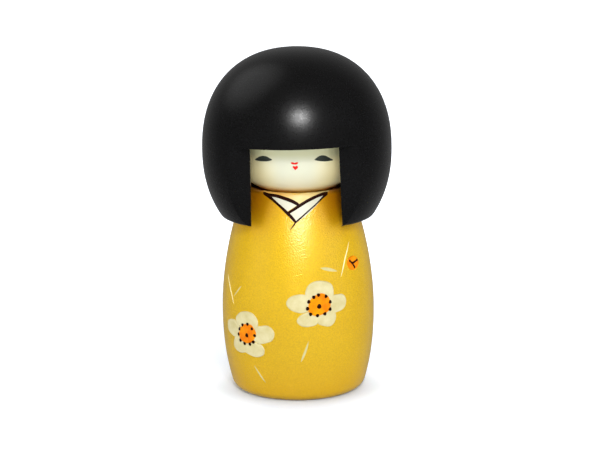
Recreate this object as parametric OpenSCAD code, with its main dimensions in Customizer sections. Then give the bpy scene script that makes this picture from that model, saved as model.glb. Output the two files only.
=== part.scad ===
// Creative kokeshi doll, lathe-turned from four pieces of wood:
// a barrel-shaped body, a neck peg glued into it, a round-jawed face,
// and a bell of bobbed hair that the face is glued up inside.
// The head (face and hair) sits on the peg and turns on it.
// Origin: centre of the flat underside. +Z is the turning axis, the doll faces -Y.

/* [Body] */
// Radius of the belly, the widest turn of the body
body_r = 28.9; // [28.4:0.05:29.4]
// Height of the belly above the table
belly_z = 30.5; // [28:0.5:34]
// Height of the rim at the top of the body
body_h = 78.5; // [78.3:0.05:78.6]
// Drop in radius from the belly to the shoulder line, 39 mm above it
shoulder_drop = 6.35; // [5.8:0.05:6.8]
// Radius of the flat that the doll stands on
base_r = 21.8; // [19:0.1:22.5]
// Height over which the lower edge is rounded
base_round_h = 3.2; // [3:0.1:6]
// Depth of the dished seat in the top of the body, under the chin
seat_depth = 1.4; // [1.35:0.05:1.8]
// Radius of the flat floor of the seat
seat_r = 12; // [11:0.1:13]

/* [Neck peg] */
// Radius of the dowel
peg_r = 5; // [4:0.1:6]
// Length of the dowel
peg_len = 30; // [24:0.5:32]
// Depth to which the dowel is glued into the body
peg_in_body = 16; // [12:0.5:20]
// Radial clearance where the face turns on the dowel
peg_fit = 0.05; // [0.02:0.01:0.1]

/* [Face] */
// Radius of the flat under the chin
chin_r = 11.5; // [10:0.1:12]
// Height of the underside of the chin above the table
chin_z = 77.35; // [77.3:0.05:77.8]
// Height over which the jaw is rounded
jaw_h = 26; // [20:0.5:28]
// Fullness of the jaw's curve: 2 is elliptical, less is flatter
jaw_n = 1.9; // [1.7:0.02:2.1]

/* [Hair] */
// Largest radius of the hair
hair_r = 35.65; // [35:0.05:36.5]
// Height of the widest turn of the hair
hair_mid_z = 92; // [91:0.5:93]
// Height of the crown, which is the doll's full height
hair_top_z = 130; // [128:0.5:132]
// Height of the lower rim of the hair
hair_rim_z = 66.7; // [66.5:0.1:67.5]
// Radius to which the outer edge of the lower rim is rounded over
hair_edge = 2; // [1:0.1:2.2]
// Depth of the curve below the widest turn, if it ran on to a point
hair_low = 39.2; // [38.8:0.1:40.5]
// Radius of the blind bore that holds the face
bore_r = 27; // [26.5:0.05:27.2]
// Height of the blind end of the bore
bore_top_z = 110; // [107:0.5:112]
// Height of the lower edge of the fringe
fringe_z = 97.5; // [96:0.1:99]
// Distance from the axis to the front cut, at the fringe
cut_y_top = 27.3; // [26:0.1:28]
// Distance from the axis to the front cut, at the rim
cut_y_rim = 22.5; // [22:0.1:23]
// Half width of the face opening at the fringe
window_top = 16.15; // [15.5:0.05:17]
// Half width of the face opening at the rim
window_rim = 16.75; // [16:0.05:17.5]
// Slope of the front cut, sawn by hand a little out of level, in degrees
cut_tilt = 0.9; // [0:0.1:2]

/* [Hidden] */
$fn = 96;
eps = 1;
seat_z = body_h - seat_depth;
peg_bottom = seat_z - peg_in_body;
peg_top = peg_bottom + peg_len;
rim_round = 1.1;

gold = [0.90, 0.70, 0.16];
black = [0.07, 0.07, 0.07];
cream = [0.95, 0.93, 0.84];
beech = [0.80, 0.66, 0.47];

// Barrel: the radius falls away from the belly by a power of the distance
function barrel(z) = z > belly_z
    ? body_r - shoulder_drop * pow((z - belly_z) / 39.2, 1.93)
    : body_r - 2.92 * pow((belly_z - z) / 25.7, 2.25);

// Rounding of the lower edge, nothing above base_round_h
function foot(z) = z >= base_round_h ? 0
    : (barrel(0) - base_r) * (1 - sqrt(1 - pow(1 - z / base_round_h, 2)));

// Rounding of the top rim, nothing below body_h - rim_round
function lip(z) = z <= body_h - rim_round ? 0
    : rim_round * (1 - sqrt(1 - pow((z - body_h + rim_round) / rim_round, 2)));

function body_profile(z) = barrel(z) - foot(z) - lip(z);

// Hair: two superellipses that meet at the widest turn
function hair_profile(z) = z > hair_mid_z
    ? hair_r * pow(1 - pow((z - hair_mid_z) / (hair_top_z - hair_mid_z), 2.275), 1 / 2.275)
    : hair_r * pow(1 - pow((hair_mid_z - z) / hair_low, 2.17), 1 / 2.17);

// The rounding of the rim is tangent to the hair's own curve, about this far off plumb
hair_lean = atan((hair_profile(hair_rim_z + 1.1) - hair_profile(hair_rim_z + 0.9)) / 0.2);
hair_edge_z = hair_rim_z + hair_edge * (1 - sin(hair_lean));
hair_edge_r = hair_profile(hair_edge_z) - hair_edge * cos(hair_lean);

// Heights along a rounded end, spaced by angle so that the curve stays smooth
function foot_z(i, n) = base_round_h * (1 - cos(90 * i / n));
function lip_z(i, n) = body_h - rim_round * (1 - sin(90 * i / n));

module body() {
    foot_n = 10;
    side_n = 26;
    lip_n = 6;
    low = base_round_h;
    high = body_h - rim_round;
    color(gold) difference() {
        rotate_extrude() polygon(concat(
            [[0, 0]],
            [for (i = [0 : foot_n]) [body_profile(foot_z(i, foot_n)), foot_z(i, foot_n)]],
            [for (i = [1 : side_n]) let (z = low + (high - low) * i / side_n) [body_profile(z), z]],
            [for (i = [1 : lip_n]) [body_profile(lip_z(i, lip_n)), lip_z(i, lip_n)]],
            // shallow dish that the chin sits in
            [for (i = [1 : 6]) let (t = i / 6, r0 = body_profile(body_h))
                [r0 + (seat_r - r0) * t, seat_z + seat_depth * pow(1 - t, 2)]],
            [[0, seat_z]]
        ));
        // blind hole for the neck peg
        translate([0, 0, peg_bottom]) cylinder(r = peg_r, h = peg_in_body + eps);
    }
}

module neck_peg() {
    chamfer = 0.6;
    color(beech) rotate_extrude() polygon([
        [0, peg_bottom], [peg_r, peg_bottom],
        [peg_r, peg_top - chamfer], [peg_r - chamfer, peg_top], [0, peg_top]
    ]);
}

module face() {
    jaw_k = 28;
    color(cream) difference() {
        rotate_extrude() polygon(concat(
            [[0, chin_z], [chin_r, chin_z]],
            [for (i = [1 : jaw_k]) let (u = 90 * i / jaw_k)
                [chin_r + (bore_r - chin_r) * pow(sin(u), 2 / jaw_n),
                 chin_z + jaw_h * (1 - pow(cos(u), 2 / jaw_n))]],
            [[bore_r, bore_top_z], [0, bore_top_z]]
        ));
        // blind hole that turns on the neck peg
        translate([0, 0, chin_z - eps])
            cylinder(r = peg_r + peg_fit, h = peg_top + 0.5 - chin_z + eps);
    }
}

module hair() {
    low_n = 16;
    top_n = 30;
    edge_n = 8;
    color(black) difference() {
        rotate_extrude() polygon(concat(
            [[0, hair_rim_z]],
            [for (i = [0 : edge_n]) let (a = -90 + (90 - hair_lean) * i / edge_n)
                [hair_edge_r + hair_edge * cos(a), hair_rim_z + hair_edge * (1 + sin(a))]],
            [for (i = [1 : low_n]) let (z = hair_edge_z + (hair_mid_z - hair_edge_z) * i / low_n)
                [hair_profile(z), z]],
            [for (i = [1 : top_n - 1]) let (z = hair_mid_z + (hair_top_z - hair_mid_z) * sin(90 * i / top_n))
                [hair_profile(z), z]],
            [[0, hair_top_z]]
        ));
        // blind bore for the face
        translate([0, 0, hair_rim_z - eps])
            cylinder(r = bore_r, h = bore_top_z - hair_rim_z + eps);
        // front cut below the fringe, leaning back towards the rim, and the
        // opening for the face between the side locks
        translate([0, 0, fringe_z]) rotate(cut_tilt, [0, -1, 0]) translate([0, 0, -fringe_z]) {
            rotate([90, 0, 90]) translate([0, 0, -45]) linear_extrude(height = 90) polygon([
                [-50, fringe_z], [-cut_y_top, fringe_z],
                [-cut_y_rim, hair_rim_z], [-cut_y_rim, hair_rim_z - 5], [-50, hair_rim_z - 5]
            ]);
            translate([0, -14, 0]) rotate([90, 0, 0]) linear_extrude(height = 30) polygon([
                [-window_top, fringe_z], [-window_rim, hair_rim_z], [-window_rim, hair_rim_z - 5],
                [window_rim, hair_rim_z - 5], [window_rim, hair_rim_z], [window_top, fringe_z]
            ]);
        }
    }
}

body();
neck_peg();
face();
hair();
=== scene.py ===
import math

import bmesh
import bpy
import numpy as np
from mathutils import Matrix, Vector


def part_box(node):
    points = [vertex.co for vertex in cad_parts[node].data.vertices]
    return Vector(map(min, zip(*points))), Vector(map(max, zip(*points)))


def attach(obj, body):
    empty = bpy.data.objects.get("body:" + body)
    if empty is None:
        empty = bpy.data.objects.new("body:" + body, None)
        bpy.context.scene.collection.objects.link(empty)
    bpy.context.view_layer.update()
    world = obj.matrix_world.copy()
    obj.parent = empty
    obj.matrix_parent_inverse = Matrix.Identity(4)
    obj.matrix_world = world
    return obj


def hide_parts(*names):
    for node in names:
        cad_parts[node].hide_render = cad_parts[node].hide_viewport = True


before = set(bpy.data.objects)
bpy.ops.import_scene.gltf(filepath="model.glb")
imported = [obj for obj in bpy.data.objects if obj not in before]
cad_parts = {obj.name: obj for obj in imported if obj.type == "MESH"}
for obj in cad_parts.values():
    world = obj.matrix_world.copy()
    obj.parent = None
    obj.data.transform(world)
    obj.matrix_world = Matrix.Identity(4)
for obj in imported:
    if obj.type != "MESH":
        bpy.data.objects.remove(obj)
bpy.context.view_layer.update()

MM = 0.001

# ---------------------------------------------------------------- sizes, in mm, from the frame
BODY_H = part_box("body")[1].z / MM
BODY_R = 28.9
BELLY_Z = 30.5
SHOULDER_DROP = 6.35
BASE_R = 21.8
FOOT_H = 3.2
LIP = 1.1
SEAT_DEPTH = 1.4
SEAT_R = 12.0
PEG_R = 5.0
PEG_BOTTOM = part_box("neck_peg")[0].z / MM
PEG_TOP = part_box("neck_peg")[1].z / MM

CHIN_R = 11.5
CHIN_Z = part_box("face")[0].z / MM
JAW_H = 26.0
JAW_N = 1.9
BORE_R = 27.0
BORE_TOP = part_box("face")[1].z / MM

HAIR_R = 35.65
HAIR_MID = 92.0
HAIR_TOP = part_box("hair")[1].z / MM
HAIR_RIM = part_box("hair")[0].z / MM
HAIR_LOW = 39.2
FRINGE_Z = 97.5
CUT_TOP = 27.3
CUT_RIM = 22.5
WIN_TOP = 16.15
WIN_RIM = 16.75
TILT = math.radians(0.9)


def barrel(z):
    if z > BELLY_Z:
        return BODY_R - SHOULDER_DROP * ((z - BELLY_Z) / 39.2) ** 1.93
    return BODY_R - 2.92 * ((BELLY_Z - z) / 25.7) ** 2.25


def body_r(z):
    r = barrel(z)
    if z < FOOT_H:
        r -= (barrel(0) - BASE_R) * (1 - math.sqrt(max(0.0, 1 - (1 - z / FOOT_H) ** 2)))
    if z > BODY_H - LIP:
        r -= LIP * (1 - math.sqrt(max(0.0, 1 - ((z - BODY_H + LIP) / LIP) ** 2)))
    return r


def face_r(z):
    q = min(1.0, max(0.0, 1 - (z - CHIN_Z) / JAW_H))
    c = q ** (JAW_N / 2)
    return CHIN_R + (BORE_R - CHIN_R) * math.sqrt(max(0.0, 1 - c * c)) ** (2 / JAW_N)


def hair_r(z):
    if z > HAIR_MID:
        return HAIR_R * max(0.0, 1 - ((z - HAIR_MID) / (HAIR_TOP - HAIR_MID)) ** 2.275) ** (1 / 2.275)
    return HAIR_R * (1 - ((HAIR_MID - z) / HAIR_LOW) ** 2.17) ** (1 / 2.17)


# ---------------------------------------------------------------- meshes
def make_object(name, verts, faces, sharp=35.0):
    """A closed mesh from points in mm and faces, with its normals outwards."""
    bm = bmesh.new()
    vs = [bm.verts.new((x * MM, y * MM, z * MM)) for x, y, z in verts]
    bm.verts.ensure_lookup_table()
    for f in faces:
        if len(set(f)) > 2:
            try:
                bm.faces.new([vs[i] for i in f])
            except ValueError:
                pass
    bmesh.ops.remove_doubles(bm, verts=bm.verts, dist=2e-7)
    bmesh.ops.recalc_face_normals(bm, faces=bm.faces)
    me = bpy.data.meshes.new(name)
    bm.to_mesh(me)
    bm.free()
    return link(name, me, sharp)


def link(name, me, sharp=35.0):
    me.shade_smooth()
    me.set_sharp_from_angle(angle=math.radians(sharp))
    ob = bpy.data.objects.new(name, me)
    bpy.context.scene.collection.objects.link(ob)
    return ob


def lathe(name, profile, seg, sharp=35.0):
    """Turns a profile of (radius, height) that starts and ends on the axis."""
    verts, rows = [], []
    for r, z in profile:
        if r < 1e-6:
            rows.append([len(verts)] * seg)
            verts.append((0.0, 0.0, z))
        else:
            rows.append(list(range(len(verts), len(verts) + seg)))
            for k in range(seg):
                a = 2 * math.pi * k / seg
                verts.append((r * math.sin(a), -r * math.cos(a), z))
    faces = []
    for a, b in zip(rows, rows[1:]):
        for k in range(seg):
            n = (k + 1) % seg
            quad = [a[k], a[n], b[n], b[k]]
            faces.append(list(dict.fromkeys(quad)))
    return make_object(name, verts, faces, sharp)


def lin(a, b, n):
    return [a + (b - a) * i / n for i in range(n + 1)]


# -- body: barrel, dished seat, peg hole
prof = [(0.0, 0.0)] + [(r, 0.0) for r in lin(3.0, BASE_R, 12)]
prof += [(body_r(z), z) for z in [FOOT_H * (1 - math.cos(math.pi / 2 * i / 22)) for i in range(1, 23)]]
prof += [(body_r(z), z) for z in lin(FOOT_H, BODY_H - LIP, 150)[1:]]
prof += [(body_r(z), z) for z in [BODY_H - LIP * (1 - math.sin(math.pi / 2 * i / 12)) for i in range(1, 13)]]
r0 = body_r(BODY_H)
seat_z = BODY_H - SEAT_DEPTH
prof += [(r0 + (SEAT_R - r0) * t, seat_z + SEAT_DEPTH * (1 - t) ** 2) for t in lin(0, 1, 16)[1:]]
prof += [(r, seat_z) for r in lin(SEAT_R, PEG_R, 4)[1:]]
prof += [(PEG_R, z) for z in lin(seat_z, PEG_BOTTOM, 6)[1:]] + [(0.0, PEG_BOTTOM)]
body = lathe("body_turned", prof, 256)

# -- face: drum with a rounded jaw, peg hole
hole_top = PEG_TOP + 0.5
prof = [(0.0, hole_top), (PEG_R + 0.05, hole_top)] + [(PEG_R + 0.05, z) for z in lin(hole_top, CHIN_Z, 5)[1:]]
prof += [(r, CHIN_Z) for r in lin(PEG_R + 0.05, CHIN_R, 4)[1:]]
for i in range(1, 91):
    u = math.pi / 2 * i / 90
    prof.append((CHIN_R + (BORE_R - CHIN_R) * math.sin(u) ** (2 / JAW_N), CHIN_Z + JAW_H * (1 - math.cos(u) ** (2 / JAW_N))))
prof += [(BORE_R, z) for z in lin(CHIN_Z + JAW_H, BORE_TOP, 6)[1:]]
prof += [(r, BORE_TOP) for r in lin(BORE_R, 3.0, 6)[1:]] + [(0.0, BORE_TOP)]
face = lathe("face_turned", prof, 224)


# -- hair: bell with a blind bore, its front cut away below the fringe
def build_hair():
    rnd = 2.0
    slope = math.atan((hair_r(HAIR_RIM + 1.1) - hair_r(HAIR_RIM + 0.9)) / 0.2)
    zs = HAIR_RIM + rnd * (1 - math.sin(slope))
    rc = hair_r(zs) - rnd * math.cos(slope)
    zc = HAIR_RIM + rnd

    def r_out(z):
        if z >= zs:
            return hair_r(z)
        return rc + math.sqrt(max(0.0, rnd * rnd - (zc - z) ** 2))

    def local(x, z):
        zr = z - FRINGE_Z
        return x * math.cos(TILT) + zr * math.sin(TILT), -x * math.sin(TILT) + zr * math.cos(TILT)

    def frac(zl):
        return min(1.0, max(0.0, -zl / (FRINGE_Z - HAIR_RIM)))

    def cut(zl):
        return CUT_TOP + (CUT_RIM - CUT_TOP) * frac(zl)

    def win(zl):
        return WIN_TOP + (WIN_RIM - WIN_TOP) * frac(zl)

    def edge_angles(r, z, side):
        """Angles from the front at which the plane cut and the face opening meet radius r at height z."""
        pl = math.acos(min(1.0, CUT_TOP / r)) if r > CUT_TOP else 0.6
        for _ in range(12):
            _, zl = local(side * r * math.sin(pl), z)
            pl = math.acos(min(1.0, cut(zl) / r)) if r > cut(zl) else 0.0
        xw = side * WIN_TOP
        for _ in range(12):
            _, zl = local(xw, z)
            xw = (side * win(zl) - (z - FRINGE_Z) * math.sin(TILT)) / math.cos(TILT)
        return pl, math.asin(min(1.0, abs(xw) / r)), abs(xw)

    def fringe_height(phi, r_of):
        z = FRINGE_Z
        for _ in range(8):
            z = FRINGE_Z + r_of(z) * math.sin(phi) * math.tan(TILT)
        return z

    n_low, n_front, n_rows = 236, 52, 60
    qs = [(HAIR_RIM + rnd * (1 - math.cos(a)) - HAIR_RIM) / (FRINGE_Z - HAIR_RIM)
          for a in lin(0.0, math.pi / 2 - slope, 9)]
    qs += lin(qs[-1], 1.0, n_rows)[1:]
    verts, faces = [], []

    def add(p):
        verts.append(p)
        return len(verts) - 1

    def at(r, phi, z):
        return (r * math.sin(phi), -r * math.cos(phi), z)

    outer, bore, plane_edge, fringe_phi = [], [], [], {}
    for q in qs:
        ends = {}
        for side in (1, -1):
            z, phi, win_first = HAIR_RIM + (FRINGE_Z - HAIR_RIM) * q, 0.7, False
            for _ in range(20):
                z = HAIR_RIM + (fringe_height(side * phi, hair_r) - HAIR_RIM) * q
                pl, wi, xw = edge_angles(r_out(z), z, side)
                phi = max(pl, wi)
            ends[side] = (phi, z, wi >= pl)
        row = []
        a, b = ends[1][0], 2 * math.pi - ends[-1][0]
        for k in range(n_low + 1):
            phi = a + (b - a) * k / n_low
            z = HAIR_RIM + (fringe_height(phi, hair_r) - HAIR_RIM) * q
            row.append(add(at(r_out(z), phi, z)))
        outer.append(row)
        pe = {}
        bends = {}
        for side in (1, -1):
            x = side * WIN_TOP
            for _ in range(12):
                z = HAIR_RIM + (FRINGE_Z + x * math.tan(TILT) - HAIR_RIM) * q
                _, zl = local(x, z)
                x = (side * win(zl) - (z - FRINGE_Z) * math.sin(TILT)) / math.cos(TILT)
            if ends[side][2]:
                pe[side] = row[0] if side == 1 else row[-1]
            else:
                pe[side] = add((x, -cut(zl), z))
            bends[side] = math.asin(abs(x) / BORE_R)
        plane_edge.append(pe)
        a2, b2 = bends[1], 2 * math.pi - bends[-1]
        brow = []
        for k in range(n_low + 1):
            phi = a2 + (b2 - a2) * k / n_low
            z = HAIR_RIM + (fringe_height(phi, lambda _: BORE_R) - HAIR_RIM) * q
            brow.append(add(at(BORE_R, phi, z)))
        bore.append(brow)
        fringe_phi = {"outer": (a, b), "bore": (a2, b2)}

    for i in range(len(qs) - 1):
        for k in range(n_low):
            faces.append([outer[i][k], outer[i][k + 1], outer[i + 1][k + 1], outer[i + 1][k]])
            faces.append([bore[i][k + 1], bore[i][k], bore[i + 1][k], bore[i + 1][k + 1]])
        for side, end in ((1, 0), (-1, -1)):
            o0, o1, p0, p1, b0, b1 = outer[i][end], outer[i + 1][end], plane_edge[i][side], plane_edge[i + 1][side], bore[i][end], bore[i + 1][end]
            for quad in ([o0, o1, p1, p0], [p0, p1, b1, b0]):
                quad = list(dict.fromkeys(quad))
                if len(quad) > 2:
                    faces.append(quad if side == 1 else quad[::-1])
    # rim
    for k in range(n_low):
        quad = [outer[0][k + 1], outer[0][k], bore[0][k], bore[0][k + 1]]
        if k == 0:
            quad = [outer[0][1], outer[0][0], plane_edge[0][1], bore[0][0], bore[0][1]]
        if k == n_low - 1:
            quad = [outer[0][-1], outer[0][-2], bore[0][-2], bore[0][-1], plane_edge[0][-1]]
        faces.append(list(dict.fromkeys(quad)))
    # front arcs at the fringe
    front, bfront = [], []
    a, b = fringe_phi["outer"]
    for k in range(1, n_front):
        phi = b + (2 * math.pi + a - b) * k / n_front
        z = fringe_height(phi, hair_r)
        front.append(add(at(hair_r(z), phi, z)))
    a2, b2 = fringe_phi["bore"]
    for k in range(1, n_front):
        phi = b2 + (2 * math.pi + a2 - b2) * k / n_front
        bfront.append(add(at(BORE_R, phi, fringe_height(phi, lambda _: BORE_R))))
    ring = outer[-1] + front
    bring = bore[-1] + bfront
    under = [outer[-1][-1]] + front + [outer[-1][0], plane_edge[-1][1], bore[-1][0]] + bfront[::-1] + [bore[-1][-1], plane_edge[-1][-1]]
    faces.append(under)
    # crown
    n_up = 84
    prev = ring
    angles = [a + (b - a) * k / n_low for k in range(n_low + 1)] + [b + (2 * math.pi + a - b) * k / n_front for k in range(1, n_front)]
    for u in range(1, n_up):
        g = math.sin(math.pi / 2 * u / n_up)
        row = []
        for phi in angles:
            zf = fringe_height(phi, hair_r)
            z = zf + (HAIR_TOP - zf) * g
            row.append(add(at(hair_r(z), phi, z)))
        for k in range(len(row)):
            n = (k + 1) % len(row)
            faces.append([prev[k], prev[n], row[n], row[k]])
        prev = row
    tip = add((0, 0, HAIR_TOP))
    for k in range(len(prev)):
        faces.append([prev[k], prev[(k + 1) % len(prev)], tip])
    # bore above the fringe, and its blind end
    prev = bring
    bangles = [a2 + (b2 - a2) * k / n_low for k in range(n_low + 1)] + [b2 + (2 * math.pi + a2 - b2) * k / n_front for k in range(1, n_front)]
    for u in range(1, 5):
        row = []
        for phi in bangles:
            zf = fringe_height(phi, lambda _: BORE_R)
            row.append(add(at(BORE_R, phi, zf + (BORE_TOP - zf) * u / 4)))
        for k in range(len(row)):
            n = (k + 1) % len(row)
            faces.append([prev[n], prev[k], row[k], row[n]])
        prev = row
    tip = add((0, 0, BORE_TOP))
    for k in range(len(prev)):
        faces.append([prev[(k + 1) % len(prev)], prev[k], tip])

    bm = bmesh.new()
    vs = [bm.verts.new((x * MM, y * MM, z * MM)) for x, y, z in verts]
    for f in faces:
        if len(set(f)) > 2:
            bm.faces.new([vs[i] for i in f])
    bmesh.ops.remove_doubles(bm, verts=bm.verts, dist=2e-7)
    bmesh.ops.recalc_face_normals(bm, faces=bm.faces)
    # ease the sawn edges
    sharp = [e for e in bm.edges if len(e.link_faces) == 2 and e.calc_face_angle(0) > math.radians(27)
             and e.verts[0].co.z < (FRINGE_Z + 3) * MM and e.verts[1].co.z < (FRINGE_Z + 3) * MM]
    bmesh.ops.bevel(bm, geom=sharp, offset=0.26 * MM, offset_type="OFFSET", segments=3, profile=0.5,
                    affect="EDGES", clamp_overlap=False, loop_slide=True)
    bmesh.ops.recalc_face_normals(bm, faces=bm.faces)
    me = bpy.data.meshes.new("hair_turned")
    bm.to_mesh(me)
    bm.free()
    return link("hair_turned", me, 32.0)


hair = build_hair()


# ---------------------------------------------------------------- paint, laid on the turned surfaces
LIP_S = 77.8
lip_path = [(body_r(z), z) for z in lin(LIP_S, BODY_H, 60)]
lip_path += [(body_r(BODY_H) - t, seat_z + SEAT_DEPTH * (1 - t / (body_r(BODY_H) - SEAT_R)) ** 2) for t in lin(0, 5.8, 50)[1:]]
lip_len = [0.0]
for (ra, za), (rb, zb) in zip(lip_path, lip_path[1:]):
    lip_len.append(lip_len[-1] + math.hypot(rb - ra, zb - za))


def on_surface(theta, z, radius, h):
    """Point h mm off a turned surface, at theta radians from the front and height z.

    On the body, heights above LIP_S count along the surface, over the lip and into the dish."""
    if radius is body_r and z > LIP_S:
        q = min(z - LIP_S, lip_len[-1] - 0.02)
        i = max(k for k in range(len(lip_len) - 1) if lip_len[k] <= q)
        t = (q - lip_len[i]) / (lip_len[i + 1] - lip_len[i])
        (ra, za), (rb, zb) = lip_path[i], lip_path[i + 1]
        lo, hi = lip_path[max(0, i - 1)], lip_path[min(len(lip_path) - 1, i + 2)]
        dr, dz = hi[0] - lo[0], hi[1] - lo[1]
        n = math.hypot(dr, dz)
        rr, zz = ra + (rb - ra) * t + h * dz / n, za + (zb - za) * t - h * dr / n
        return (rr * math.sin(theta), -rr * math.cos(theta), zz)
    r = radius(z)
    s = (radius(z + 0.05) - radius(z - 0.05)) / 0.1
    n = math.hypot(1, s)
    rr, zz = r + h / n, z - h * s / n
    return (rr * math.sin(theta), -rr * math.cos(theta), zz)


def spline(pts, n, closed):
    """Catmull-Rom through the points."""
    p = np.array(pts, float)
    m = len(p)
    out = []
    spans = m if closed else m - 1
    for i in range(spans):
        if closed:
            a, b, c, d = p[(i - 1) % m], p[i], p[(i + 1) % m], p[(i + 2) % m]
        else:
            a, b, c, d = p[max(i - 1, 0)], p[i], p[i + 1], p[min(i + 2, m - 1)]
        for k in range(12):
            t = k / 12
            out.append(0.5 * ((2 * b) + (c - a) * t + (2 * a - 5 * b + 4 * c - d) * t * t + (3 * b - a - 3 * c + d) * t ** 3))
    if not closed:
        out.append(p[-1])
    out = np.array(out)
    if closed:
        out = np.vstack([out, out[:1]])
    d = np.r_[0, np.cumsum(np.hypot(*np.diff(out, axis=0).T))]
    q = np.linspace(0, d[-1], n + 1)
    res = np.stack([np.interp(q, d, out[:, 0]), np.interp(q, d, out[:, 1])], 1)
    return res[:-1] if closed else res


def hash_noise(x, y, seed):
    v = math.sin(x * 1.7 + seed * 3.1) * math.cos(y * 2.3 - seed * 1.7) + 0.5 * math.sin(x * 4.1 - y * 3.3 + seed)
    return v / 1.5


def blob(outline, radius, height, edge=0.35, centre=None, n=96, ridge=0.0, wobble=0.0, seed=0.0, base=-0.06, closed_spline=True, wall=0.0):
    """A patch of paint with a rounded edge inside a closed outline of (degrees, mm). Returns points and faces."""
    mean_z = sum(p[1] for p in outline) / len(outline)
    rm = radius(mean_z)
    flat = [(math.radians(a) * rm, z) for a, z in outline]
    if closed_spline:
        rim = spline(flat, n, True)
    else:
        rim = resample(flat, n)
    c = np.array(rim.mean(0)) if centre is None else np.array([math.radians(centre[0]) * rm, centre[1]])
    mean_rad = float(np.hypot(*(rim - c).T).mean())
    ts = [1.0]
    steps = 5
    for i in range(1, steps + 1):
        ts.append(1 - min(0.8, edge / mean_rad) * i / steps)
    inner = ts[-1]
    for i in range(1, 6):
        ts.append(inner * (1 - i / 6))
    verts, rows = [], []

    def put(x, z, h):
        verts.append(on_surface(x / rm, z, radius, h))
        return len(verts) - 1

    rows.append([put(x, z, base) for x, z in rim])
    for t in ts:
        d = (1 - t) / max(1e-6, 1 - inner)
        h = wall + (height - wall) * math.sqrt(max(0.0, 1 - (1 - min(1.0, d)) ** 2)) if t < 1 else wall
        if ridge:
            h += ridge * math.exp(-((d - 0.8) / 0.45) ** 2) * (1 if t < 1 else 0)
        row = []
        for x, z in rim:
            px, pz = c[0] + t * (x - c[0]), c[1] + t * (z - c[1])
            hh = h + (wobble * hash_noise(px, pz, seed) * min(1.0, d) if wobble else 0.0)
            row.append(put(px, pz, hh))
        rows.append(row)
    faces = []
    for a, b in zip(rows, rows[1:]):
        for k in range(n):
            m = (k + 1) % n
            faces.append([a[k], a[m], b[m], b[k]])
    top = put(c[0], c[1], height + (wobble * hash_noise(c[0], c[1], seed) if wobble else 0.0))
    bottom = put(c[0], c[1], base)
    for k in range(n):
        m = (k + 1) % n
        faces.append([rows[-1][k], rows[-1][m], top])
        faces.append([rows[0][m], rows[0][k], bottom])
    return verts, faces


def resample(pts, n):
    p = np.array(list(pts) + [pts[0]], float)
    d = np.r_[0, np.cumsum(np.hypot(*np.diff(p, axis=0).T))]
    q = np.linspace(0, d[-1], n + 1)[:-1]
    return np.stack([np.interp(q, d, p[:, 0]), np.interp(q, d, p[:, 1])], 1)


def stroke(line, radius, widths, height, n=60, across=8, base=-0.05, blunt=0.12):
    """A brush stroke along a line of (degrees, mm), with its width in mm at even steps along it."""
    mean_z = sum(p[1] for p in line) / len(line)
    rm = radius(mean_z)
    mid = spline([(math.radians(a) * rm, z) for a, z in line], n, False)
    tan = np.gradient(mid, axis=0)
    tan /= np.hypot(*tan.T)[:, None]
    nor = np.stack([-tan[:, 1], tan[:, 0]], 1)
    ws = np.interp(np.linspace(0, 1, n + 1), np.linspace(0, 1, len(widths)), widths)
    verts, rows = [], []
    for i in range(n + 1):
        t = i / n
        end = min(1.0, math.sqrt(min(1.0, min(t, 1 - t) / blunt))) if blunt else 1.0
        w = max(0.02, ws[i] * 0.5 * max(end, 0.04))
        row = []
        for k in range(across + 1):
            u = -1 + 2 * k / across
            h = height * max(end, 0.1) * math.sqrt(max(0.0, 1 - u * u)) if abs(u) < 1 else base
            p = mid[i] + nor[i] * w * u
            verts.append(on_surface(p[0] / rm, p[1], radius, h))
            row.append(len(verts) - 1)
        rows.append(row)
    faces = []
    for a, b in zip(rows, rows[1:]):
        for k in range(across):
            faces.append([a[k], a[k + 1], b[k + 1], b[k]])
        faces.append([a[across], a[0], b[0], b[across]])
    faces.append(rows[0][::-1])
    faces.append(rows[-1])
    return verts, faces


def dot(theta, z, radius, size, height, tall=1.0, seed=0.0, wall=0.0):
    """A drop of paint."""
    rm = radius(z)
    pts = []
    for k in range(10):
        a = 2 * math.pi * k / 10
        w = size * (1 + 0.08 * math.sin(3 * a + seed))
        pts.append((theta + math.degrees(w * math.cos(a) / rm), z + w * tall * math.sin(a)))
    return blob(pts, radius, height, edge=size * 0.8, n=24, base=-0.05, wall=wall)


def group(name, parts, sharp=60.0):
    verts, faces = [], []
    for v, f in parts:
        o = len(verts)
        verts += v
        faces += [[i + o for i in g] for g in f]
    bm = bmesh.new()
    vs = [bm.verts.new((x * MM, y * MM, z * MM)) for x, y, z in verts]
    for f in faces:
        bm.faces.new([vs[i] for i in f])
    bmesh.ops.recalc_face_normals(bm, faces=bm.faces)
    me = bpy.data.meshes.new(name)
    bm.to_mesh(me)
    bm.free()
    return link(name, me, sharp)


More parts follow.
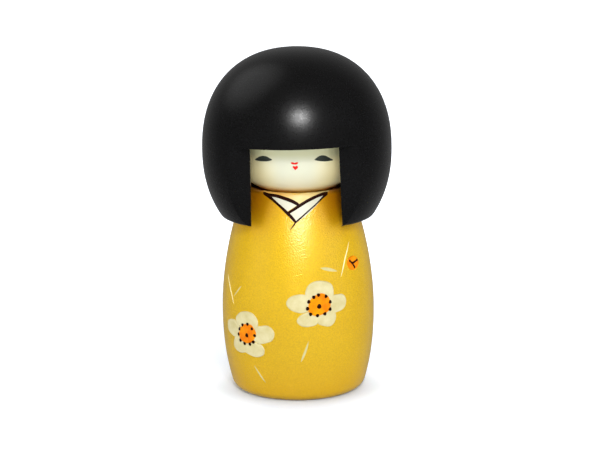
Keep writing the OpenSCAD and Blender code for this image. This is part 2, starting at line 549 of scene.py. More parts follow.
# Outlines are in degrees round the doll from its front, towards its left (+X), and mm above the table.
BIG_TOP = [(7.2, 42.0), (7.6, 43.6), (8.8, 45.1), (11.2, 46.3), (14.8, 47.0), (19.2, 47.1), (23.6, 46.7), (27.2, 45.9), (29.0, 44.7), (29.6, 43.1), (29.4, 41.4), (26.8, 39.4), (21.2, 38.3), (17.6, 38.3), (12.4, 39.3), (8.6, 40.7)]
BIG_LEFT = [(7.6, 42.1), (4.2, 42.4), (1.2, 42.3), (-2.6, 41.8), (-5.4, 40.8), (-6.8, 39.6), (-6.8, 38.5), (-5.4, 37.4), (-3.0, 36.4), (0.4, 35.7), (3.6, 35.4), (6.8, 35.5), (9.6, 36.3), (11.6, 37.6), (11.6, 39.3), (10.4, 41.0)]
BIG_RIGHT = [(30.4, 41.4), (33.2, 41.4), (36.0, 41.4), (38.4, 40.8), (40.0, 39.6), (40.4, 38.4), (39.8, 37.1), (38.4, 36.0), (35.8, 35.2), (32.4, 34.8), (29.8, 34.7), (26.4, 35.6), (24.8, 37.1), (24.4, 38.8), (26.0, 40.4), (28.0, 41.2)]
BIG_LL = [(7.4, 35.5), (4.8, 35.0), (2.4, 34.1), (1.0, 32.9), (1.0, 32.0), (2.4, 31.1), (4.6, 30.4), (7.6, 30.1), (10.8, 30.2), (14.0, 30.5), (16.2, 31.2), (17.6, 32.5), (17.6, 34.3), (15.6, 35.8), (12.2, 36.0), (9.6, 35.9)]
BIG_LR = [(16.6, 31.2), (18.0, 30.6), (20.8, 30.1), (24.0, 29.7), (26.6, 29.8), (28.4, 30.4), (30.0, 31.4), (30.8, 32.7), (30.8, 34.1), (29.8, 35.0), (27.2, 35.9), (22.8, 36.1), (19.2, 35.6), (16.8, 34.3), (16.0, 32.6)]
BIG_C = [(19.8, 42.2), (23.2, 41.4), (24.8, 40.5), (25.8, 39.4), (25.8, 38.0), (25.0, 36.4), (22.8, 35.4), (19.2, 34.8), (16.0, 34.4), (12.8, 34.8), (10.4, 35.9), (10.0, 37.3), (10.4, 39.0), (11.6, 40.3), (14.2, 41.3), (17.0, 42.0)]
BIG_DOTS = [(13.6, 41.2), (17.2, 41.9), (22.8, 41.2), (26.0, 39.0), (25.8, 36.3), (21.6, 34.8), (16.0, 34.4), (11.0, 35.0), (8.8, 37.1), (9.8, 39.6), (17.4, 37.7)]
SM_TOP = [(-51.6, 30.0), (-51.6, 31.2), (-49.2, 32.5), (-46.0, 33.6), (-41.6, 34.3), (-37.4, 34.4), (-34.2, 34.1), (-31.6, 33.2), (-30.0, 32.2), (-29.2, 31.0), (-29.2, 29.7), (-30.4, 28.4), (-33.4, 27.1), (-38.8, 27.0), (-44.0, 27.6), (-48.6, 28.6)]
SM_LEFT = [(-52.8, 29.9), (-56.0, 29.9), (-60.0, 29.4), (-63.6, 28.6), (-65.0, 27.6), (-65.2, 26.1), (-64.4, 25.1), (-62.0, 24.3), (-59.0, 23.7), (-54.8, 23.2), (-50.8, 23.2), (-46.8, 24.2), (-45.0, 25.8), (-46.4, 27.7), (-50.0, 29.1)]
SM_RIGHT = [(-28.8, 29.5), (-26.0, 29.8), (-23.6, 30.1), (-21.2, 30.1), (-18.8, 29.6), (-16.8, 28.6), (-16.0, 27.6), (-16.0, 26.5), (-16.8, 25.3), (-18.6, 24.2), (-21.2, 23.6), (-24.0, 23.1), (-26.8, 22.8), (-30.0, 22.9), (-33.2, 23.7), (-34.2, 25.4), (-33.0, 27.5), (-30.6, 28.8)]
SM_LL = [(-53.6, 23.2), (-55.2, 21.8), (-56.2, 20.5), (-56.0, 19.2), (-54.0, 18.3), (-50.8, 17.7), (-47.2, 17.6), (-43.2, 18.1), (-39.6, 19.2), (-38.0, 20.7), (-37.6, 22.2), (-39.8, 23.1), (-44.4, 23.6), (-49.2, 23.8)]
SM_LR = [(-42.4, 18.3), (-39.2, 17.8), (-36.0, 17.4), (-32.8, 17.2), (-29.8, 17.4), (-27.2, 17.9), (-25.2, 18.6), (-24.4, 19.7), (-24.4, 20.9), (-25.4, 21.8), (-27.2, 22.6), (-30.4, 22.9), (-33.6, 23.1), (-37.6, 22.2), (-40.6, 20.6), (-42.0, 19.5)]
SM_C = [(-38.4, 29.6), (-35.2, 29.7), (-33.0, 28.8), (-31.2, 27.6), (-30.8, 26.2), (-32.0, 24.7), (-33.6, 23.5), (-37.0, 22.5), (-40.0, 22.1), (-43.4, 22.4), (-46.2, 23.1), (-47.6, 24.2), (-47.6, 25.7), (-46.0, 27.4), (-44.0, 28.7), (-41.6, 29.4)]
SM_DOTS = [(-43.4, 28.9), (-38.4, 29.6), (-34.2, 28.2), (-32.0, 25.8), (-33.6, 23.1), (-36.8, 22.1), (-42.0, 21.9), (-46.4, 22.7), (-48.0, 24.9), (-46.8, 27.0), (-39.2, 25.3)]

def swell(outline, k):
    """The outline grown about its middle."""
    a0, z0 = sum(p[0] for p in outline) / len(outline), sum(p[1] for p in outline) / len(outline)
    return [(a0 + k * (a - a0), z0 + k * (z - z0)) for a, z in outline]


petal = dict(edge=0.55, ridge=0.05, wobble=0.02)
big_petals = group("blossom_large_petals", [
    blob(BIG_LL, body_r, 0.20, seed=1, **petal),
    blob(BIG_LR, body_r, 0.22, seed=2, **petal),
    blob(BIG_LEFT, body_r, 0.24, seed=3, **petal),
    blob(BIG_RIGHT, body_r, 0.26, seed=4, **petal),
    blob(BIG_TOP, body_r, 0.28, seed=5, **petal),
])
big_centre = group("blossom_large_centre", [blob(swell(BIG_C, 1.08), body_r, 0.44, edge=0.8, wobble=0.015, seed=6, wall=0.29)])
big_dots = group("blossom_large_dots", [
    dot(a, z, body_r, 0.84 if i == 10 else 0.65, 0.60 if i == 10 else 0.54, tall=1.08, seed=i, wall=0.44 if i == 10 else 0.38) for i, (a, z) in enumerate(BIG_DOTS)])
small_petals = group("blossom_small_petals", [
    blob(SM_LEFT, body_r, 0.20, seed=7, **petal),
    blob(SM_LL, body_r, 0.22, seed=8, **petal),
    blob(SM_LR, body_r, 0.24, seed=9, **petal),
    blob(SM_RIGHT, body_r, 0.26, seed=10, **petal),
    blob(SM_TOP, body_r, 0.28, seed=11, **petal),
])
small_centre = group("blossom_small_centre", [blob(swell(SM_C, 1.0), body_r, 0.44, edge=0.8, wobble=0.015, seed=12, wall=0.29)])
small_dots = group("blossom_small_dots", [
    dot(a, z, body_r, 0.76 if i == 10 else 0.61, 0.60 if i == 10 else 0.54, tall=1.08, seed=i, wall=0.44 if i == 10 else 0.38) for i, (a, z) in enumerate(SM_DOTS)])

sprig_stems = group("sprig_stems", [
    stroke([(50.6, 59.7), (46.8, 56.7), (42.8, 53.5), (39.6, 50.2), (36.6, 47.3)], body_r, [0.12, 0.52, 0.58, 0.46, 0.10], 0.12),
    stroke([(-68.4, 45.8), (-64.4, 43.2), (-60.4, 40.4), (-57.2, 38.0), (-54.8, 35.6)], body_r, [0.12, 0.5, 0.5, 0.42, 0.10], 0.12),
])
sprigs = group("sprig_leaves", [
    stroke([(19.6, 51.7), (26.8, 50.9), (34.4, 49.8)], body_r, [0.2, 1.25, 1.5, 1.05, 0.15], 0.05),
    stroke([(-46.6, 43.4), (-51.0, 41.0), (-55.4, 38.6)], body_r, [0.15, 0.5, 0.58, 0.5, 0.15], 0.06),
    stroke([(9.4, 24.6), (7.2, 20.9), (3.6, 16.4)], body_r, [0.15, 0.75, 1.0, 0.88, 0.18], 0.07),
    stroke([(-34.8, 13.8), (-31.0, 10.8), (-25.6, 7.2)], body_r, [0.12, 0.55, 0.75, 0.62, 0.12], 0.07),
])
bud = group("bud_orange", [blob([(52.6, 54.2), (57.0, 53.2), (58.8, 51.3), (55.8, 49.6), (50.6, 49.0), (46.0, 50.1), (44.6, 52.1), (47.2, 53.8)], body_r, 0.22, edge=0.6, wobble=0.015, seed=13)])
bud_lines = group("bud_lines", [
    stroke([(46.8, 53.1), (50.0, 51.5), (52.8, 49.5)], body_r, [1.1, 0.9, 0.95, 1.2], 0.36, n=30, blunt=0.06),
    stroke([(57.6, 52.4), (52.4, 51.8), (49.6, 51.6)], body_r, [1.15, 0.85, 0.95, 1.1], 0.36, n=30, blunt=0.06),
    dot(52.3, 51.8, body_r, 0.46, 0.36),
])

collar_white = group("collar_white", [
    blob([(-26.0, 77.0), (-17.0, 76.9), (-9.6, 76.2), (-3.6, 75.5), (2.4, 74.5), (-3.4, 73.2), (-8.8, 71.9), (-12.8, 73.0), (-18.4, 74.8)], body_r, 0.05, edge=0.3, closed_spline=False),
    blob([(33.6, 77.5), (22.8, 76.7), (12.0, 75.2), (4.2, 73.7), (-5.4, 71.4), (-2.4, 70.2), (1.0, 68.2), (5.8, 69.6), (11.6, 71.1), (20.8, 73.9), (26.8, 75.6)], body_r, 0.05, edge=0.3, closed_spline=False, n=120),
], 50.0)
neck_skin = group("neck_skin", [
    blob([(-40.0, 79.0), (-42.0, 80.6), (-43.0, 82.6), (-36.0, 83.2), (-20.0, 83.2), (4.0, 83.2), (24.0, 83.2), (36.0, 83.2), (43.0, 82.6), (42.0, 80.6), (41.0, 79.0), (36.8, 78.2), (29.0, 77.9), (17.0, 76.7), (5.2, 74.5), (-3.6, 76.0), (-17.2, 77.3), (-28.6, 78.0), (-36.0, 78.4)],
         body_r, 0.04, edge=0.25, centre=(1.0, 78.0), closed_spline=False, n=160)], 50.0)
collar_lines = group("collar_lines", [
    stroke([(-38.6, 78.3), (-30.8, 77.2), (-24.2, 76.0), (-17.8, 74.5), (-12.8, 73.2), (-8.4, 71.8), (-4.0, 70.3), (0.8, 68.2)], body_r, [1.15, 1.35, 1.15, 1.0, 1.05, 1.25, 1.25, 1.1], 0.14, n=90, blunt=0.05),
    stroke([(-37.0, 78.0), (-28.6, 77.6), (-22.8, 77.5), (-17.2, 77.2), (-11.6, 76.7), (-3.6, 75.8), (4.0, 74.4)], body_r, [0.9, 1.15, 1.3, 1.4, 1.5, 1.45, 1.2], 0.16, n=80, blunt=0.05),
    stroke([(38.2, 78.4), (29.6, 77.8), (23.2, 77.2), (17.0, 76.5), (11.2, 75.6), (5.2, 74.4), (-1.4, 72.9), (-7.6, 71.5)], body_r, [0.95, 1.25, 1.15, 1.2, 1.25, 1.3, 1.15, 0.95], 0.20, n=90, blunt=0.05),
    stroke([(37.2, 78.2), (35.0, 77.6), (30.0, 76.7), (24.8, 75.4), (20.1, 74.2), (11.7, 71.95), (4.1, 69.6), (0.4, 68.3), (-2.3, 66.9), (-5.0, 65.4)], body_r, [1.0, 0.9, 0.72, 0.6, 0.6, 0.6, 0.62, 0.75, 0.55, 0.08], 0.12, n=100, blunt=0.04),
], 60.0)

eyes = group("eyes", [
    blob([(-36.0, 91.3), (-33.4, 92.1), (-31.0, 92.7), (-28.4, 93.1), (-26.2, 93.2), (-23.6, 93.1), (-21.4, 92.6), (-19.0, 91.9), (-21.6, 91.4), (-24.6, 91.1), (-28.4, 91.0), (-32.0, 91.0)], face_r, 0.06, edge=0.25, n=72),
    blob([(16.6, 91.9), (18.4, 92.7), (20.6, 93.3), (23.6, 93.5), (26.8, 93.1), (30.2, 92.2), (34.0, 91.2), (30.4, 91.0), (26.0, 91.0), (21.4, 91.3), (18.6, 91.6)], face_r, 0.06, edge=0.25, n=72),
])
nose_mouth = group("nose_mouth", [
    stroke([(-3.3, 91.05), (-1.6, 90.78), (0.2, 90.62), (1.6, 90.78), (3.1, 91.08)], face_r, [0.5, 1.0, 0.8, 1.0, 0.5], 0.06, n=40),
    blob([(-1.9, 89.35), (-0.8, 89.75), (0.4, 89.5), (1.5, 89.8), (2.8, 89.45), (2.6, 88.85), (1.3, 88.4), (0.5, 88.05), (-0.7, 88.55)], face_r, 0.07, edge=0.2, n=48),
])

# ---------------------------------------------------------------- materials
def new_mat(name):
    m = bpy.data.materials.new(name)
    m.use_nodes = True
    nt = m.node_tree
    bsdf = nt.nodes["Principled BSDF"]
    return m, nt, bsdf


def N(nt, kind, **kw):
    n = nt.nodes.new(kind)
    for k, v in kw.items():
        setattr(n, k, v)
    return n


def noise(nt, vec, scale, detail=3.0, rough=0.5):
    n = N(nt, "ShaderNodeTexNoise")
    n.inputs["Scale"].default_value = scale
    n.inputs["Detail"].default_value = detail
    n.inputs["Roughness"].default_value = rough
    nt.links.new(vec, n.inputs["Vector"])
    return n.outputs["Fac"]


def ramp(nt, fac, stops):
    r = N(nt, "ShaderNodeValToRGB")
    el = r.color_ramp.elements
    while len(el) < len(stops):
        el.new(0.5)
    for e, (p, c) in zip(el, stops):
        e.position = p
        e.color = (*c, 1.0) if len(c) == 3 else c
    nt.links.new(fac, r.inputs["Fac"])
    return r.outputs["Color"]


def bump(nt, height, strength, distance, normal=None):
    b = N(nt, "ShaderNodeBump")
    b.inputs["Strength"].default_value = strength
    b.inputs["Distance"].default_value = distance
    nt.links.new(height, b.inputs["Height"])
    if normal is not None:
        nt.links.new(normal, b.inputs["Normal"])
    return b.outputs["Normal"]


def mix_col(nt, fac, a, b, mode="MIX"):
    m = N(nt, "ShaderNodeMix", data_type="RGBA", blend_type=mode)
    for sock, v in ((m.inputs[0], fac), (m.inputs[6], a), (m.inputs[7], b)):
        if hasattr(v, "is_linked"):
            nt.links.new(v, sock)
        elif isinstance(v, (int, float)):
            sock.default_value = v
        else:
            sock.default_value = (*v, 1.0)
    return m.outputs[2]


def math_node(nt, op, a, b=None, clamp=False):
    m = N(nt, "ShaderNodeMath", operation=op, use_clamp=clamp)
    for sock, v in ((m.inputs[0], a), (m.inputs[1], b)):
        if v is None:
            continue
        if hasattr(v, "is_linked"):
            nt.links.new(v, sock)
        else:
            sock.default_value = v
    return m.outputs[0]


def map_range(nt, v, a, b, c, d, smooth=True):
    m = N(nt, "ShaderNodeMapRange", interpolation_type="SMOOTHSTEP" if smooth else "LINEAR")
    nt.links.new(v, m.inputs["Value"])
    for k, x in zip(("From Min", "From Max", "To Min", "To Max"), (a, b, c, d)):
        m.inputs[k].default_value = x
    return m.outputs["Result"]


def obj_coord(nt):
    return N(nt, "ShaderNodeTexCoord").outputs["Object"]


def gold_lacquer():
    m, nt, b = new_mat("gold_lacquer")
    co = obj_coord(nt)
    sep = N(nt, "ShaderNodeSeparateXYZ")
    nt.links.new(co, sep.inputs[0])
    fine = noise(nt, co, 1900.0, 2.0, 0.6)
    coarse = noise(nt, co, 420.0, 2.0, 0.5)
    cloud = noise(nt, co, 45.0, 2.0, 0.5)
    flakes = N(nt, "ShaderNodeTexVoronoi", feature="F1")
    flakes.inputs["Scale"].default_value = 2100.0
    nt.links.new(co, flakes.inputs["Vector"])
    grain = ramp(nt, fine, [(0.30, (0.785, 0.458, 0.0004)), (0.5, (0.875, 0.526, 0.0005)), (0.70, (0.965, 0.605, 0.0008))])
    tone = ramp(nt, cloud, [(0.3, (0.965, 0.955, 0.94)), (0.7, (1.0, 1.0, 1.0))])
    col = mix_col(nt, 1.0, grain, tone, "MULTIPLY")
    # painted shade: the lacquer is painted darker and warmer round the shoulders, less so in front; this is partly an
    # airbrushed tone and partly the shade and dark reflection of the hair locks above
    ang = math_node(nt, "ARCTAN2", sep.outputs["X"], math_node(nt, "MULTIPLY", sep.outputs["Y"], -1.0))
    side = map_range(nt, math_node(nt, "ABSOLUTE", ang), math.radians(12), math.radians(46), 0.30, 1.0)
    up = map_range(nt, sep.outputs["Z"], 0.0585, 0.0760, 0.0, 0.90)
    col = mix_col(nt, math_node(nt, "MULTIPLY", side, up), col, (0.76, 0.250, 0.0003))
    # painted light: lighter and redder towards the foot; this is partly the foot's warmer tone and partly bounce
    # light from the floor on the downward-turning barrel
    low = map_range(nt, sep.outputs["Z"], 0.022, 0.0, 0.0, 0.55)
    col = mix_col(nt, low, col, (0.98, 0.525, 0.002))
    # painted shade: the lip beside the neck is painted nearly black where the chin and hair locks shade it
    lip = math_node(nt, "MULTIPLY", map_range(nt, sep.outputs["Z"], 0.0770, 0.0782, 0.0, 0.55), map_range(nt, math_node(nt, "ABSOLUTE", ang), math.radians(34), math.radians(48), 0.0, 1.0))
    col = mix_col(nt, lip, col, (0.045, 0.010, 0.0006))
    nt.links.new(col, b.inputs["Base Color"])
    b.inputs["Metallic"].default_value = 0.35
    nt.links.new(map_range(nt, coarse, 0.3, 0.7, 0.38, 0.46, False), b.inputs["Roughness"])
    b.inputs["Specular IOR Level"].default_value = 0.85
    b.inputs["Coat Weight"].default_value = 1.0
    b.inputs["Coat Roughness"].default_value = 0.27
    b.inputs["Coat IOR"].default_value = 1.86
    b.inputs["Specular Tint"].default_value = (1.0, 0.80, 0.10, 1.0)
    h = math_node(nt, "ADD", math_node(nt, "MULTIPLY", fine, 0.6), flakes.outputs["Distance"])
    nrm = bump(nt, h, 1.0, 0.00010)
    nt.links.new(nrm, b.inputs["Normal"])
    nt.links.new(bump(nt, h, 1.0, 0.000065), b.inputs["Coat Normal"])
    return m


def hair_lacquer():
    m, nt, b = new_mat("hair_lacquer")
    co = obj_coord(nt)
    sep = N(nt, "ShaderNodeSeparateXYZ")
    nt.links.new(co, sep.inputs[0])
    # fine turning lines run round the axis
    comb = N(nt, "ShaderNodeCombineXYZ")
    nt.links.new(math_node(nt, "MULTIPLY", sep.outputs["X"], 0.02), comb.inputs["X"])
    nt.links.new(math_node(nt, "MULTIPLY", sep.outputs["Y"], 0.02), comb.inputs["Y"])
    nt.links.new(sep.outputs["Z"], comb.inputs["Z"])
    lines = noise(nt, comb.outputs[0], 900.0, 3.0, 0.6)
    skin = noise(nt, co, 900.0, 3.0, 0.6)
    cloud = noise(nt, co, 60.0, 2.0, 0.5)
    nt.links.new(ramp(nt, cloud, [(0.3, (0.0032, 0.0031, 0.0031)), (0.7, (0.0042, 0.0041, 0.0042))]), b.inputs["Base Color"])
    nt.links.new(map_range(nt, skin, 0.3, 0.7, 0.26, 0.31, False), b.inputs["Roughness"])
    b.inputs["Specular IOR Level"].default_value = 0.34
    n1 = bump(nt, lines, 0.10, 0.00010)
    nt.links.new(bump(nt, skin, 0.015, 0.00006, n1), b.inputs["Normal"])
    return m


def face_paint():
    m, nt, b = new_mat("face_paint")
    co = obj_coord(nt)
    sep = N(nt, "ShaderNodeSeparateXYZ")
    nt.links.new(co, sep.inputs[0])
    cloud = noise(nt, co, 70.0, 3.0, 0.5)
    skin = noise(nt, co, 1100.0, 3.0, 0.6)
    base = ramp(nt, cloud, [(0.3, (0.580, 0.572, 0.418)), (0.7, (0.600, 0.592, 0.442))])
    # painted reflected light: the lower face is painted yellower, standing for light bounced up from the gold body
    low = map_range(nt, sep.outputs["Z"], 0.0880, 0.0790, 0.0, 0.65)
    col = mix_col(nt, low, base, (0.59, 0.50, 0.30))
    # painted light: the sides of the face beside the hair locks are painted lighter and warmer, standing for warm
    # light bounced from the gold
    ang = math_node(nt, "ABSOLUTE", math_node(nt, "ARCTAN2", sep.outputs["X"], math_node(nt, "MULTIPLY", sep.outputs["Y"], -1.0)))
    col = mix_col(nt, map_range(nt, ang, math.radians(10), math.radians(44), 0.0, 1.0), col, (0.95, 0.81, 0.41))
    # painted shadow: a band under the fringe is painted darker olive, the fringe's shadow on the face
    fringe_shadow = map_range(nt, sep.outputs["Z"], 0.0905, 0.0945, 0.0, 0.75)
    col = mix_col(nt, fringe_shadow, col, (0.48, 0.465, 0.245))
    # painted light: the underside of the chin is painted bright warm orange, standing for gold light bounced up from
    # the body
    col = mix_col(nt, map_range(nt, sep.outputs["Z"], 0.0810, 0.0780, 0.0, 1.0), col, (0.86, 0.60, 0.22))
    nt.links.new(col, b.inputs["Base Color"])
    nt.links.new(map_range(nt, skin, 0.3, 0.7, 0.42, 0.50, False), b.inputs["Roughness"])
    b.inputs["Specular IOR Level"].default_value = 0.4
    nt.links.new(bump(nt, skin, 0.06, 0.00005), b.inputs["Normal"])
    return m


def paint(name, lo, hi, rough=0.42, spec=0.5, coat=0.0, strength=0.18, scale=900.0, metal=0.0):
    m, nt, b = new_mat(name)
    co = obj_coord(nt)
    brush = noise(nt, co, 260.0, 4.0, 0.6)
    fine = noise(nt, co, scale, 3.0, 0.6)
    nt.links.new(ramp(nt, brush, [(0.32, lo), (0.68, hi)]), b.inputs["Base Color"])
    nt.links.new(map_range(nt, fine, 0.3, 0.7, rough - 0.05, rough + 0.05, False), b.inputs["Roughness"])
    b.inputs["Specular IOR Level"].default_value = spec
    b.inputs["Coat Weight"].default_value = coat
    b.inputs["Coat Roughness"].default_value = 0.12
    b.inputs["Metallic"].default_value = metal
    nt.links.new(bump(nt, fine, strength, 0.00005, bump(nt, brush, strength, 0.00012)), b.inputs["Normal"])
    return m


def neck_paint():
    """Peach that is thin over the gold on the doll's right and pales to cream on its left."""
    m = paint("skin_peach", (0.66, 0.47, 0.16), (0.70, 0.53, 0.215), rough=0.42, strength=0.10)
    nt = m.node_tree
    b = nt.nodes["Principled BSDF"]
    pale = b.inputs["Base Color"].links[0].from_socket
    sep = N(nt, "ShaderNodeSeparateXYZ")
    nt.links.new(obj_coord(nt), sep.inputs[0])
    warm = map_range(nt, sep.outputs["X"], 0.001, -0.007, 0.0, 0.85)
    nt.links.new(mix_col(nt, warm, pale, (0.66, 0.335, 0.055)), b.inputs["Base Color"])
    return m


def bare_wood():
    m, nt, b = new_mat("bare_wood")
    co = obj_coord(nt)
    sep = N(nt, "ShaderNodeSeparateXYZ")
    nt.links.new(co, sep.inputs[0])
    comb = N(nt, "ShaderNodeCombineXYZ")
    nt.links.new(sep.outputs["X"], comb.inputs["X"])
    nt.links.new(sep.outputs["Y"], comb.inputs["Y"])
    nt.links.new(math_node(nt, "MULTIPLY", sep.outputs["Z"], 0.06), comb.inputs["Z"])
    wave = N(nt, "ShaderNodeTexWave", wave_type="RINGS", rings_direction="Z", wave_profile="SAW")
    wave.inputs["Scale"].default_value = 130.0
    wave.inputs["Distortion"].default_value = 2.2
    wave.inputs["Detail"].default_value = 3.0
    wave.inputs["Detail Scale"].default_value = 1.2
    mp = N(nt, "ShaderNodeMapping")
    mp.inputs["Location"].default_value = (0.011, -0.006, 0.0)
    nt.links.new(comb.outputs[0], mp.inputs["Vector"])
    nt.links.new(mp.outputs[0], wave.inputs["Vector"])
    fibre = noise(nt, comb.outputs[0], 1400.0, 4.0, 0.6)
    col = ramp(nt, wave.outputs["Fac"], [(0.0, (0.66, 0.47, 0.28)), (0.75, (0.58, 0.39, 0.21)), (1.0, (0.44, 0.27, 0.13))])
    col = mix_col(nt, 0.35, col, ramp(nt, fibre, [(0.35, (0.42, 0.27, 0.14)), (0.65, (0.70, 0.52, 0.32))]))
    nt.links.new(col, b.inputs["Base Color"])
    b.inputs["Roughness"].default_value = 0.62
    b.inputs["Specular IOR Level"].default_value = 0.35
    nt.links.new(bump(nt, fibre, 0.25, 0.00008), b.inputs["Normal"])
    return m


M_GOLD = gold_lacquer()
M_HAIR = hair_lacquer()
M_FACE = face_paint()
M_WOOD = bare_wood()
M_CREAM = paint("blossom_cream", (0.50, 0.425, 0.190), (0.600, 0.535, 0.295), rough=0.44, spec=0.4, strength=0.22)
M_ORANGE = paint("blossom_orange", (0.62, 0.125, 0.0004), (0.78, 0.275, 0.0008), rough=0.46, spec=0.06, strength=0.25)
M_BROWN = paint("line_brown", (0.012, 0.0022, 0.0010), (0.020, 0.0045, 0.0020), rough=0.40, spec=0.05, strength=0.08)
M_WHITE = paint("collar_white", (0.55, 0.53, 0.40), (0.60, 0.575, 0.45), rough=0.42, strength=0.12)
M_PEACH = neck_paint()
M_EYE = paint("eye_grey", (0.022, 0.028, 0.020), (0.034, 0.042, 0.030), rough=0.45, strength=0.08)
M_RED = paint("lip_red", (0.60, 0.005, 0.003), (0.66, 0.009, 0.005), rough=0.4, spec=0.2, strength=0.08)
M_SPRIG = paint("sprig_cream", (0.52, 0.435, 0.155), (0.60, 0.525, 0.240), rough=0.42, strength=0.15)
M_STEM = paint("sprig_yellow", (0.78, 0.67, 0.27), (0.84, 0.76, 0.42), rough=0.4, strength=0.15)


def dress(ob, mat, body_name):
    ob.data.materials.clear()
    ob.data.materials.append(mat)
    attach(ob, body_name)


dress(body, M_GOLD, "torso")
body.data.materials.append(M_WOOD)
for p in body.data.polygons:
    c = p.center
    if c.z < 1e-5 or (math.hypot(c.x, c.y) < (PEG_R + 0.2) * MM and c.z < seat_z * MM + 1e-4):
        p.material_index = 1
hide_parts("body")
dress(face, M_FACE, "head")
face.data.materials.append(M_WOOD)
for p in face.data.polygons:
    c = p.center
    if c.z < (CHIN_Z + 0.01) * MM or (math.hypot(c.x, c.y) < (PEG_R + 0.2) * MM and c.z < hole_top * MM + 1e-4):
        p.material_index = 1
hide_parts("face")
dress(hair, M_HAIR, "head")
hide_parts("hair")

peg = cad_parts["neck_peg"]
peg.data.materials.clear()
peg.data.materials.append(M_WOOD)

for ob, mat, slot in (
    (big_petals, M_CREAM, "blossom_cream"), (small_petals, M_CREAM, "blossom_cream"), (sprigs, M_SPRIG, "blossom_cream"), (sprig_stems, M_STEM, "blossom_cream"),
    (big_centre, M_ORANGE, "blossom_orange"), (small_centre, M_ORANGE, "blossom_orange"), (bud, M_ORANGE, "blossom_orange"),
    (big_dots, M_BROWN, "line_brown"), (small_dots, M_BROWN, "line_brown"), (bud_lines, M_BROWN, "line_brown"), (collar_lines, M_BROWN, "line_brown"),
    (collar_white, M_WHITE, "collar_white"), (neck_skin, M_PEACH, "skin_peach"),
):
    dress(ob, mat, "torso")
dress(eyes, M_EYE, "head")
dress(nose_mouth, M_RED, "head")

# ---------------------------------------------------------------- camera
TARGET = Vector((0, 0, 0.0681))
DIST = 0.7569
AZ, EL, ROLL = math.radians(2.0), math.radians(12.0), math.radians(0.5)
away = Vector((math.sin(AZ) * math.cos(EL), -math.cos(AZ) * math.cos(EL), math.sin(EL)))
fwd = -away
right = fwd.cross(Vector((0, 0, 1))).normalized()
up = right.cross(fwd).normalized()
r2 = right * math.cos(ROLL) - up * math.sin(ROLL)
u2 = up * math.cos(ROLL) + right * math.sin(ROLL)
px = DIST / 2000.0
aim = TARGET + r2 * (2.6 * px) - u2 * (14.9 * px)
pos = TARGET + away * DIST
fwd = (aim - pos).normalized()
r3 = (r2 - fwd * r2.dot(fwd)).normalized()
u3 = r3.cross(fwd).normalized()
cam_data = bpy.data.cameras.new("camera")
cam_data.lens = 120.0
cam_data.sensor_width = 36.0
cam_data.clip_start = 0.01
cam_data.clip_end = 20.0
cam = bpy.data.objects.new("camera", cam_data)
cam.matrix_world = Matrix(((r3.x, u3.x, -fwd.x, pos.x), (r3.y, u3.y, -fwd.y, pos.y), (r3.z, u3.z, -fwd.z, pos.z), (0, 0, 0, 1)))
bpy.context.scene.collection.objects.link(cam)
bpy.context.scene.camera = cam

# ---------------------------------------------------------------- floor and light
fm = bmesh.new()
pts = [(-4, -4, 0), (4, -4, 0), (4, 4, 0), (-4, 4, 0)]
fm.faces.new([fm.verts.new(p) for p in pts])
fme = bpy.data.meshes.new("floor")
fm.to_mesh(fme)
fm.free()
floor = bpy.data.objects.new("floor", fme)
bpy.context.scene.collection.objects.link(floor)
m, nt, b = new_mat("floor_white")
b.inputs["Base Color"].default_value = (0.705, 0.765, 0.865, 1)
b.inputs["Roughness"].default_value = 0.9
b.inputs["Specular IOR Level"].default_value = 0.0
# painted light: the floor glows white, dimmer near the doll and more so in front of it, as a painted contact shadow
# round the base
b.inputs["Emission Color"].default_value = (1, 1, 1, 1)
away = N(nt, "ShaderNodeVectorMath", operation="LENGTH")
lead = N(nt, "ShaderNodeVectorMath", operation="ADD")
nt.links.new(obj_coord(nt), lead.inputs[0])
lead.inputs[1].default_value = (0.0, 0.006, 0.0)
nt.links.new(lead.outputs[0], away.inputs[0])
near = map_range(nt, away.outputs["Value"], 0.016, 0.038, 0.0, 0.36)
nt.links.new(math_node(nt, "ADD", near, map_range(nt, away.outputs["Value"], 0.036, 0.40, 0.0, 0.7)), b.inputs["Emission Strength"])
fme.materials.append(m)
floor.visible_glossy = False


def area(name, where, look, size, energy, size_y=None, shape="RECTANGLE", spread=180.0):
    d = bpy.data.lights.new(name, "AREA")
    d.shape = shape
    d.size = size
    if size_y:
        d.size_y = size_y
    d.energy = energy
    d.spread = math.radians(spread)
    o = bpy.data.objects.new(name, d)
    v = Vector(look) - Vector(where)
    o.rotation_euler = v.to_track_quat("-Z", "Y").to_euler()
    o.location = where
    bpy.context.scene.collection.objects.link(o)
    return o


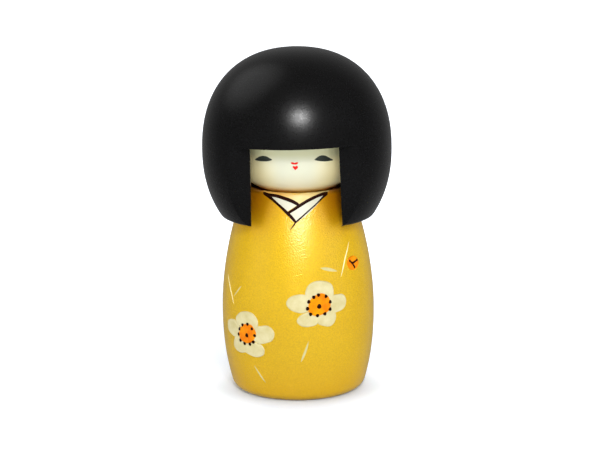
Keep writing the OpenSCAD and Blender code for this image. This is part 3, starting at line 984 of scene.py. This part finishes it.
def polar(az, el, dist, z0=0.08):
    a, e = math.radians(az), math.radians(el)
    return (dist * math.sin(a) * math.cos(e), -dist * math.cos(a) * math.cos(e), z0 + dist * math.sin(e))


area("key", polar(7.0, 32, 1.2), (0, 0, 0.09), 0.34, 8.2, 0.22, shape="ELLIPSE")
for side in (-1, 1):
    fill = area("fill_left" if side < 0 else "fill_right", polar(62 * side, 16, 1.3), (0, 0, 0.06), 0.9, 9.9, 0.9)
    fill.visible_glossy = False
for name, size, energy in (("rear_left", 1.15, 2.6), ("rear_left_wide", 1.75, 3.2)):
    rear = area(name, polar(-107, 49, 1.6), (0, 0, 0.08), size, energy, shape="DISK")
    rear.visible_diffuse = False
over = area("overhead", (0, 0.25, 1.3), (0, 0, 0), 1.7, 13.2, 1.7)
over.visible_glossy = False

world = bpy.data.worlds.new("studio")
bpy.context.scene.world = world
world.use_nodes = True
wt = world.node_tree
wt.nodes.clear()
out = wt.nodes.new("ShaderNodeOutputWorld")
mixer = wt.nodes.new("ShaderNodeMixShader")
seen = wt.nodes.new("ShaderNodeBackground")
seen.inputs["Color"].default_value = (1, 1, 1, 1)
seen.inputs["Strength"].default_value = 1.0
lit = wt.nodes.new("ShaderNodeBackground")
lit.inputs["Color"].default_value = (1, 1, 1, 1)
# a white sweep behind the doll and to its sides, a dim room in front of it
where = wt.nodes.new("ShaderNodeTexCoord").outputs["Generated"]
axes = wt.nodes.new("ShaderNodeSeparateXYZ")
wt.links.new(where, axes.inputs[0])
sweep = map_range(wt, axes.outputs["Y"], 0.10, 1.0, 0.04, 0.23)
sweep = math_node(wt, "ADD", sweep, map_range(wt, axes.outputs["Z"], -0.10, -0.45, 0.0, 0.07))
wt.links.new(sweep, lit.inputs["Strength"])
lp = wt.nodes.new("ShaderNodeLightPath")
wt.links.new(lp.outputs["Is Camera Ray"], mixer.inputs[0])
wt.links.new(lit.outputs[0], mixer.inputs[1])
wt.links.new(seen.outputs[0], mixer.inputs[2])
wt.links.new(mixer.outputs[0], out.inputs["Surface"])

bpy.context.scene.view_settings.view_transform = "Standard"
bpy.context.scene.view_settings.look = "None"
